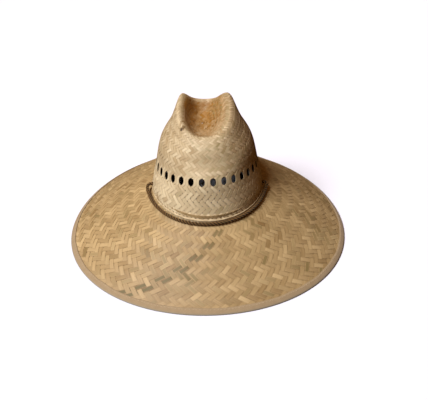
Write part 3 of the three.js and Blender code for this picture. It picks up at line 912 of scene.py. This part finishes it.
# %% The middle of the top
MIDDLE_STRIPS = 20
MIDDLE_LEVELS = (6.9, 8.93)
RISE_LEVELS = (6.9, 7.2)
MIDDLE_SAMPLES = 70
MIDDLE_LEAN = np.radians(35)
MIDDLE_COVER = 0.9
MIDDLE_TONE = (0.06, 0.08, 0.5, 0.0)
middle_rows = np.linspace(*MIDDLE_LEVELS, MIDDLE_SAMPLES) / LEVEL_STEP
middle_turn = turn_gained(crown_skin, np.full(len(crown_levels), MIDDLE_LEAN))
middle_turn = np.interp(middle_rows, crown_rows, middle_turn)
middle_turn -= middle_turn[0]
middle_crossing = middle_turn * MIDDLE_STRIPS / np.pi
middle_starts = 2 * np.pi * np.arange(MIDDLE_STRIPS) / MIDDLE_STRIPS
sink = MIDDLE_SINK * (1 - smooth_step(*RISE_LEVELS, middle_rows * LEVEL_STEP))
for family, sense, ahead in CROWN_FAMILIES:
    seen = middle_crossing + ahead
    turn = np.broadcast_to(sense * middle_turn, (MIDDLE_STRIPS, MIDDLE_SAMPLES))
    lift = np.broadcast_to(DENT_LIFT * plait_height(seen) - sink, turn.shape)
    corners, length, width = lay_strips(
        crown_skin, middle_starts, turn, middle_rows, lift, MIDDLE_COVER, holes=SMALL_HOLES
    )
    middle_line = corners[:, :, 0]
    tone = strip_tones(seen, middle_line, 0, *MIDDLE_TONE)
    tan = strip_tones(seen, middle_line, 0, *CROWN_TAN)
    tan = tan + BACK_TAN * smooth_step(*BACKWARD, middle_line[..., 1])
    colours = shades(tone, 0.05, tan)
    add_strips("crown_middle_" + family, corners, length, width, colours, crown_leaf, "crown")

# %% [markdown]
# ## Hem and stitches
# The crown's lower edge is turned up on the outside as a narrow hem; its rounded top shows as a
# pale lip over the cord. Above it runs a row of dark stitches. A band is a closed profile, given
# as height over the foot and distance from the skin, carried once round the hat.


# %% Bands round the hat
def band_layout(along, across):
    """Pattern coordinates of the four corners of each quad of a band, closed in both ways."""
    u0 = np.broadcast_to(along[:, None], (len(along), len(across)))
    v0 = np.broadcast_to(across[None, :], u0.shape)
    u1 = u0 + along[1] - along[0]
    v1 = np.broadcast_to(np.append(across[1:], 2 * across[-1] - across[-2])[None, :], u0.shape)
    pairs = ((u0, v0), (u1, v0), (u1, v1), (u0, v1))
    return np.stack([np.stack(pair, axis=-1) for pair in pairs], axis=2).reshape(-1, 2)


def capsules(middles, ways, normals, length, width, height, rings=7, sides=8):
    """Stitches: ring k of a stitch is at cos(k) along its way, with an oval of size sin(k)^0.6,
    and its ends dip below the skin by the fourth power of that cosine."""
    tip = 0.12  # angle of the first ring
    bend = np.linspace(tip, np.pi - tip, rings)[None, :, None, None]
    round_ = (np.arange(sides) * 2 * np.pi / sides)[None, None, :, None]
    ways, normals = unit(ways)[:, None, None, :], unit(normals)[:, None, None, :]
    aside = np.cross(normals, ways)
    along = -np.cos(bend) * length / 2
    thick = np.sin(bend) ** 0.6
    points = middles[:, None, None, :] + along * ways
    points = points + thick * np.cos(round_) * width / 2 * aside
    points = points + (thick * np.sin(round_) * height / 2 - np.cos(bend) ** 4 * height) * normals
    count = len(middles)
    walls = quads_between(rings, sides, count, turned=True)
    first = np.arange(count)[:, None] * rings * sides
    last = first + (rings - 1) * sides
    caps = []
    for corner in range(1, sides - 1, 2):
        caps.append(first + np.array([0, corner, corner + 1, (corner + 2) % sides]))
        caps.append(last + np.array([0, (corner + 2) % sides, corner + 1, corner]))
    return points, np.concatenate([walls] + caps)


HEM_PROFILE = np.array([
    [1.8, 0.0], [2.0, 0.5], [2.6, 0.75], [3.4, 0.8], [4.1, 0.6], [4.4, 0.3], [4.3, -0.1],
    [3.2, -0.3],
])
HEM_LAYOUT = np.linspace(0.3, 0.7, len(HEM_PROFILE))
HEM_TURNS = 480
LOW_RING_HEIGHT = 20.3  # mean height of the crown table's second ring over its foot
hem_turn = np.arange(HEM_TURNS) * 2 * np.pi / HEM_TURNS
hem_rows = HEM_PROFILE[:, 0] / LOW_RING_HEIGHT / LEVEL_STEP
turn_grid = np.broadcast_to(hem_turn[:, None], (HEM_TURNS, len(hem_rows)))
row_grid = np.broadcast_to(hem_rows[None, :], turn_grid.shape)
wobble = 0.12 * np.sin(hem_turn * 23) + 0.1 * np.sin(hem_turn * 41 + 1)
hem = read(outer["points"], turn_grid, row_grid)
hem = hem + read(outer["normal"], turn_grid, row_grid) * HEM_PROFILE[None, :, 1:]
hem[..., 2] += wobble[:, None] * (HEM_PROFILE[:, 0] > 3)
faces = quads_between(HEM_TURNS, len(hem_rows), closed=True, turned=True)
hem_piece = make_piece("crown_hem", hem, faces, crown_leaf, "crown")
hem_tone = 0.6 + 0.12 * np.sin(hem_turn * 32) + random.normal(0, 0.05, HEM_TURNS)
paint(hem_piece, "straw", np.repeat(shades(hem_tone, 0.0, 0.0)[:, None], len(hem_rows), axis=1))
lay_out(hem_piece, "fibre", band_layout(hem_turn / (2 * np.pi) * 110, HEM_LAYOUT))

# %% Stitches over the hem
thread_material, tree, surface = new_material("waxed_brown_thread")
put_in(tree, surface, {"Base Color": linear("#6b5431"), "Roughness": 0.6})

HEM_STITCHES = 96
STITCH_HEIGHT = 6.1  # over the crown's foot
HEM_STITCH = (3.2, 0.9, 0.7)  # length, width and height
STITCH_RISE = 0.1  # of a stitch's middle over the skin
stitch_turn = np.arange(HEM_STITCHES) * 2 * np.pi / HEM_STITCHES
stitch_turn = stitch_turn + random.normal(0, 0.004, HEM_STITCHES)
stitch_row = np.full(HEM_STITCHES, STITCH_HEIGHT / LOW_RING_HEIGHT / LEVEL_STEP)
middles, ways, normals = (
    read(outer[wanted], stitch_turn, stitch_row) for wanted in ("points", "around", "normal")
)
points, faces = capsules(middles + STITCH_RISE * normals, ways, normals, *HEM_STITCH)
make_piece("hem_stitches", points, faces, thread_material, "crown")

# %% [markdown]
# ## The rim's binding
# A woven cotton tape, about 19 mm wide, is folded over the edge of the brim and sewn down. Its
# profile is given as distance outwards from the rim and height over the middle of the straw, and
# is carried round on the brim's own directions. Its lowest point is 0.4 mm above the table.

# %% Folded tape
TAPE_WIDTH = 8
TAPE_INSIDE = STRAW / 2 + 0.12
TAPE_OUTSIDE = STRAW / 2 + GAP + 0.35
BINDING_PROFILE = np.array([
    [-TAPE_WIDTH, TAPE_INSIDE], [-TAPE_WIDTH - 0.3, TAPE_OUTSIDE - 0.5],
    [-TAPE_WIDTH + 0.2, TAPE_OUTSIDE - 0.12], [-5.0, TAPE_OUTSIDE], [-1.5, TAPE_OUTSIDE],
    [0.0, TAPE_OUTSIDE - 0.15], [0.8, TAPE_OUTSIDE - 0.6], [1.3, 0.6], [1.45, 0.0], [1.3, -0.6],
    [0.8, -TAPE_OUTSIDE + 0.6], [0.0, -TAPE_OUTSIDE + 0.15], [-1.5, -TAPE_OUTSIDE],
    [-5.0, -TAPE_OUTSIDE], [-TAPE_WIDTH, -TAPE_OUTSIDE + 0.1], [-TAPE_WIDTH, -TAPE_INSIDE],
    [0.1, -TAPE_INSIDE], [0.1, TAPE_INSIDE],
])
RIM_TURNS = 720
rim_turn = np.arange(RIM_TURNS) * 2 * np.pi / RIM_TURNS
rim_row = np.full(RIM_TURNS, len(brim_places) - 1.0)
rim_edge = read(brim_skin["points"], rim_turn, rim_row)
rim_normal = unit(read(brim_skin["normal"], rim_turn, rim_row))
rim_round = unit(read(brim_skin["around"], rim_turn, rim_row))
rim_out = np.cross(rim_round, rim_normal)
wander = 0.25 * np.sin(rim_turn * 17) + 0.2 * np.sin(rim_turn * 37 + 2)
outward = BINDING_PROFILE[None, :, 0] + wander[:, None] * (BINDING_PROFILE[None, :, 0] < -3)
binding = rim_edge[:, None] + outward[..., None] * rim_out[:, None]
binding = binding + BINDING_PROFILE[None, :, 1:] * rim_normal[:, None]
print("binding stands at", round(float(binding[..., 2].min()), 3), "mm")

# %% [markdown]
# The tape is plain woven cotton, soft and without gloss. Its threads are about 0.5 mm apart, finer
# than the render can show, so they are drawn 1.5 mm apart. The threads are rows of small bumps,
# and the folded edge has a grey green line of painted shade.

# %% Woven cotton tape
THREAD_SCALE = 0.3125  # a thread every 1.5 mm
tape_material, tree, surface = new_material("woven_cotton_tape")
shade = add_node(tree, "Attribute", attribute_name="tape")
fold_shade = add_node(tree, "SeparateColor", {"Color": shade.outputs["Color"]}).outputs["Red"]
flat = add_node(tree, "UVMap", uv_map="weave").outputs["UV"]
threads = add_node(tree, "TexWave", {
    "Vector": flat, "Scale": THREAD_SCALE, "Distortion": 0.6, "Detail": 1.0, "Detail Scale": 2.0,
}, bands_direction="DIAGONAL").outputs["Fac"]
patchy = add_node(tree, "TexNoise", {"Vector": flat, "Scale": 0.12, "Detail": 3.0}).outputs["Fac"]
cloth = blend(tree, threads, "#9a8565", blend(tree, patchy, "#967d5a", "#c2aa84"))
# painted shade: grey green along the folded edge
put_in(tree, surface, {
    "Base Color": blend(tree, fold_shade, cloth, "#a9a08a"), "Roughness": 0.9, "Sheen Weight": 0.1,
})
emboss(tree, surface, threads, strength=0.4, depth=0.4)

faces = quads_between(RIM_TURNS, len(BINDING_PROFILE), closed=True, turned=True)
binding_piece = make_piece("rim_tape", binding, faces, tape_material, "rim_binding")
tape_shade = np.zeros((RIM_TURNS, len(BINDING_PROFILE), 4))
tape_shade[..., 0] = np.interp(BINDING_PROFILE[:, 0], [-0.5, 0.9], [0.0, 0.9])  # painted shade at the folded edge
paint(binding_piece, "tape", tape_shade)
rim_length = 2 * np.pi * (RIM_HALF_WIDTH + RIM_HALF_LENGTH) / 2
along_rim = rim_turn / (2 * np.pi) * rim_length
lay_out(binding_piece, "weave", band_layout(along_rim, travelled_along(BINDING_PROFILE)))

# %% Stitches along the tape
TAPE_STITCHES = 264
tape_stitch_turn = np.arange(TAPE_STITCHES) * 2 * np.pi / TAPE_STITCHES
tape_place = tape_stitch_turn / (2 * np.pi) * RIM_TURNS
index = tape_place.astype(int)
TAPE_STITCH = (3.4, 0.9, 0.6)  # length, width and height
stitch_out = -TAPE_WIDTH + 2.0 + wander[index]
middles = rim_edge[index] + stitch_out[:, None] * rim_out[index] + TAPE_OUTSIDE * rim_normal[index]
points, faces = capsules(middles, rim_round[index], rim_normal[index], *TAPE_STITCH)
tape_thread, tree, surface = new_material("tan_cotton_thread")
put_in(tree, surface, {"Base Color": linear("#b7a280"), "Roughness": 0.6})
make_piece("rim_stitches", points, faces, tape_thread, "rim_binding")

# %% [markdown]
# ## Floor, light and sky
# A product photograph on white: a pale floor, a broad soft light from high on the front left and
# a little warm light from above, half as strong on the right. The shaded side of the crown is lit
# by the brim, which makes it a warm brown: so the floor is kept from lighting it and out of its
# reflections. A sun lamp lights the whole floor alike; its wide angle makes it soft.

# %% Studio
floor_mesh = bpy.data.meshes.new("floor")
FLOOR = 100.0  # half its side in metres, so that it ends at the horizon
floor_mesh.from_pydata(
    [(-FLOOR, -FLOOR, 0), (FLOOR, -FLOOR, 0), (FLOOR, FLOOR, 0), (-FLOOR, FLOOR, 0)], [],
    [(0, 1, 2, 3)],
)
floor = add_object("floor", floor_mesh)
floor_material, tree, surface = new_material("white_paper")
put_in(tree, surface, {"Base Color": linear("#f5f7ff"), "Roughness": 0.9})
floor_mesh.materials.append(floor_material)
floor.visible_diffuse = False
floor.visible_glossy = False


SKY_STRENGTH = 0.25
SKY_RIGHT = 0.5  # share of the sky's light that is left on the right
SKY_RISE = (-0.02, 0.15)  # it comes in over these heights of its direction
SKY_ACROSS = (-0.6, 0.7)  # and fades over these from left to right
SUN_FROM = np.array([-0.47, -0.33, 0.82])  # direction of the light, seen from the hat
lamp = bpy.data.lights.new("window", "SUN")
lamp.energy = 4.1
lamp.angle = np.radians(28)
lamp.color = linear("#f8f9ff")[:3]
holder = add_object("window", lamp)
back = unit(SUN_FROM)
side = unit(np.cross([0.0, 0.0, 1.0], back))
turn_to(holder, side, np.cross(back, side), back)
world = bpy.data.worlds.new("studio")
world.use_nodes = True
sky = world.node_tree
direction = add_node(sky, "TexCoord")
to_sky = add_node(sky, "SeparateXYZ", {"Vector": direction.outputs["Generated"]}).outputs
above = ramp(sky, to_sky["Z"], *SKY_RISE, top=SKY_STRENGTH)
dim = ramp(sky, to_sky["X"], *SKY_ACROSS, bottom=1.0, top=SKY_RIGHT)
put_in(sky, sky.nodes["Background"], {
    "Color": linear("#ffb56b"), "Strength": calculate(sky, "MULTIPLY", above, dim),
})
bpy.context.scene.world = world
bpy.context.scene.view_settings.view_transform = "Standard"
